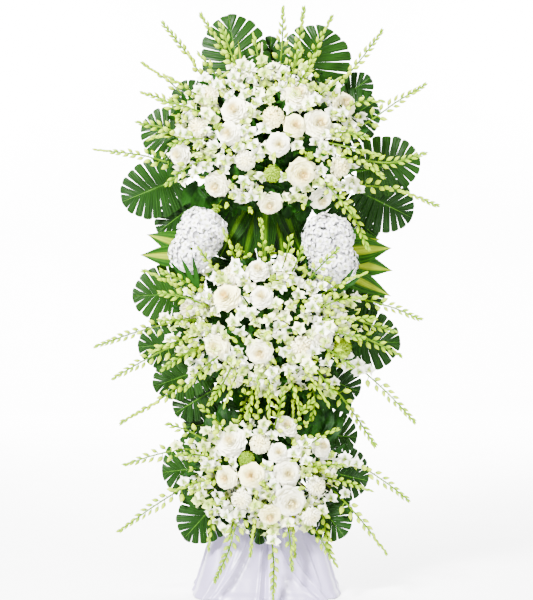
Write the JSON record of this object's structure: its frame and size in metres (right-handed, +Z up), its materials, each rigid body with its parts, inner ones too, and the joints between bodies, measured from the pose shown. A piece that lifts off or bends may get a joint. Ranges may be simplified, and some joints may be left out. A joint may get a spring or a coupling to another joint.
{
  "type": "standing funeral spray",
  "caption": "Tall standing spray of white roses, orchids and split leaves in three clusters on a hidden wooden stand, with a satin skirt round its foot.",
  "frame": {"origin": "centre of the object's bounding box in X and Y, on the floor", "axes": "+Z up, the flowers face -Y, +X to the right as seen from the front"},
  "size_m": [1.0545, 0.4693, 1.7997],
  "materials": {
    "wood": "planed softwood",
    "foam": "wet floral foam, matt and porous",
    "satin": "satin, soft sheen",
    "split_leaf": "waxy living leaf, glossy",
    "strap_leaf": "waxy living leaf with a yellow stripe",
    "orchid_spray": "living buds, soft waxy",
    "bloom": "living petals, soft matt",
    "hydrangea": "living petals, soft matt"
  },
  "bodies": {
    "root": {"foot_front_back": "wood", "foot_sideways": "wood", "post": "wood", "top_stake": "wood", "shelf_top": "wood", "shelf_mid": "wood", "shelf_bottom": "wood", "foam_top": "foam", "foam_mid": "foam", "foam_bottom": "foam", "skirt": "satin", "leaf_top_1": "split_leaf", "leaf_top_2": "split_leaf", "leaf_top_3": "split_leaf", "leaf_top_4": "split_leaf", "leaf_top_5": "split_leaf", "leaf_top_6": "split_leaf", "leaf_top_7": "split_leaf", "leaf_top_8": "split_leaf", "leaf_top_9": "split_leaf", "leaf_mid_1": "split_leaf", "leaf_mid_2": "split_leaf", "leaf_mid_3": "split_leaf", "leaf_mid_4": "split_leaf", "leaf_mid_5": "split_leaf", "leaf_mid_6": "split_leaf", "leaf_bottom_1": "split_leaf", "leaf_bottom_2": "split_leaf", "leaf_bottom_3": "split_leaf", "leaf_bottom_4": "split_leaf", "leaf_bottom_5": "split_leaf", "leaf_bottom_6": "split_leaf", "leaf_bottom_7": "split_leaf", "leaf_bottom_8": "split_leaf", "waist_leaves_centre": "split_leaf", "waist_leaves_left": "strap_leaf", "waist_leaves_right": "strap_leaf", "top_strap": "strap_leaf", "orchids_top_left": "orchid_spray", "orchids_top_up": "orchid_spray", "orchids_top_right": "orchid_spray", "orchids_top_low": "orchid_spray", "orchids_mid_left": "orchid_spray", "orchids_mid_right": "orchid_spray", "orchids_mid_low": "orchid_spray", "orchids_bottom_left": "orchid_spray", "orchids_bottom_right": "orchid_spray", "orchids_hanging": "orchid_spray", "flowers_top_1": "bloom", "flowers_top_2": "bloom", "flowers_top_3": "bloom", "flowers_top_4": "bloom", "flowers_mid_1": "bloom", "flowers_mid_2": "bloom", "flowers_mid_3": "bloom", "flowers_bottom_1": "bloom", "flowers_bottom_2": "bloom", "flowers_bottom_3": "bloom", "hydrangea_left": "hydrangea", "hydrangea_right": "hydrangea"}
  },
  "joints": []
}
